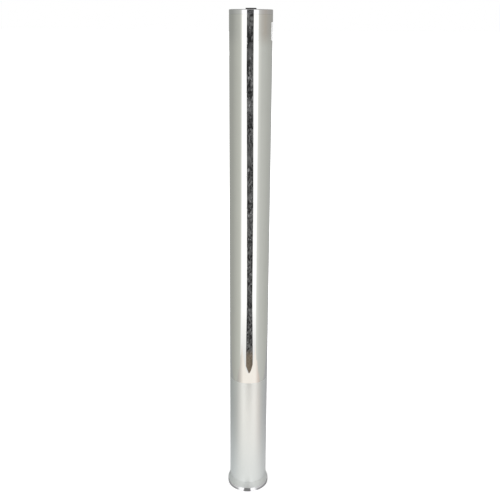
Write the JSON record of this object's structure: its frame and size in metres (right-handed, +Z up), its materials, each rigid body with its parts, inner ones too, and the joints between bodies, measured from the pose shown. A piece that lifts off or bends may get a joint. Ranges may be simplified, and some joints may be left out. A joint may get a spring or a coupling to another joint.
{
  "type": "retractable bollard",
  "caption": "Round steel post with a polished upper part, satin foot end, stop collar, lock in the cap and a gas spring inside that lifts it from its foot.",
  "frame": {"origin": "centre of the base, at the height of the lowest face, with the post lowered", "axes": "+Z up along the post, -Y to the front, +X to the right; the latch bore faces +Y and the bolts leave along X"},
  "size_m": [0.0848, 0.0848, 0.965],
  "materials": {
    "zinc_steel": "zinc plated, satin",
    "spring_steel": "dark spring steel",
    "hard_chrome": "ground hard chrome",
    "turned_steel": "turned and hardened",
    "rubber": "matt black rubber",
    "post_stainless": "stainless steel, mirror polished above 265 mm and satin below",
    "polished_stainless": "stainless steel, polished",
    "block_aluminium": "machined aluminium",
    "lock_brass": "turned brass",
    "black_paint": "black enamel",
    "nylon": "natural nylon",
    "label_vinyl": "blank white vinyl",
    "cover_plastic": "black nylon, finely textured"
  },
  "bodies": {
    "foot": {"foot_plate": "zinc_steel", "foot_pin": "zinc_steel", "foot_pin_clip": "spring_steel", "rod_eye": "zinc_steel", "gas_rod": "hard_chrome", "piston": "turned_steel", "piston_seal": "rubber", "piston_nut": "zinc_steel"},
    "post": {"post_tube": "post_stainless", "stop_collar": "polished_stainless", "buffer_ring": "rubber", "head_cap": "polished_stainless", "cap_seal": "rubber", "cap_screws": "polished_stainless", "spacer_pillars": "zinc_steel", "lock_block": "block_aluminium", "thrust_plate": "zinc_steel", "bolt_bushes": "turned_steel", "lock_barrel": "lock_brass", "barrel_seal": "rubber", "barrel_nut": "lock_brass", "cover_pivot": "polished_stainless", "upper_pin": "zinc_steel", "upper_pin_clip": "spring_steel", "cylinder_eye": "zinc_steel", "gas_cylinder": "black_paint", "rod_guide": "block_aluminium", "rod_seal": "rubber", "centring_discs": "nylon", "latch_bush": "turned_steel", "blank_label": "label_vinyl"},
    "key": {"lock_plug": "lock_brass", "cam_disc": "turned_steel", "cam_screw": "turned_steel"},
    "right_bolt": {"bolt_right": "turned_steel", "bolt_right_pin": "turned_steel"},
    "left_bolt": {"bolt_left": "turned_steel", "bolt_left_pin": "turned_steel"},
    "cover": {"dust_cover": "cover_plastic"}
  },
  "joints": [
    {"name": "lift", "type": "slide", "parent": "foot", "child": "post", "axis": [0, 0, 1], "range_m": [0, 0.7]},
    {"name": "key_turn", "type": "hinge", "parent": "post", "child": "key", "pos_m": [0, 0, 0.915], "axis": [0, 0, 1], "range_deg": [0, 90]},
    {"name": "right_bolt_slide", "type": "slide", "parent": "post", "child": "right_bolt", "axis": [1, 0, 0], "range_m": [0, 0.009]},
    {"name": "left_bolt_slide", "type": "slide", "parent": "post", "child": "left_bolt", "axis": [-1, 0, 0], "range_m": [0, 0.009]},
    {"name": "cover_swing", "type": "hinge", "parent": "post", "child": "cover", "pos_m": [0, 0.0165, 0.9638], "axis": [0, 0, 1], "range_deg": [0, 100]}
  ],
  "couplings": [
    {"joint": "right_bolt_slide", "follows": "key_turn", "m_per_rad": 0.0057295},
    {"joint": "left_bolt_slide", "follows": "key_turn", "m_per_rad": 0.0057295}
  ]
}
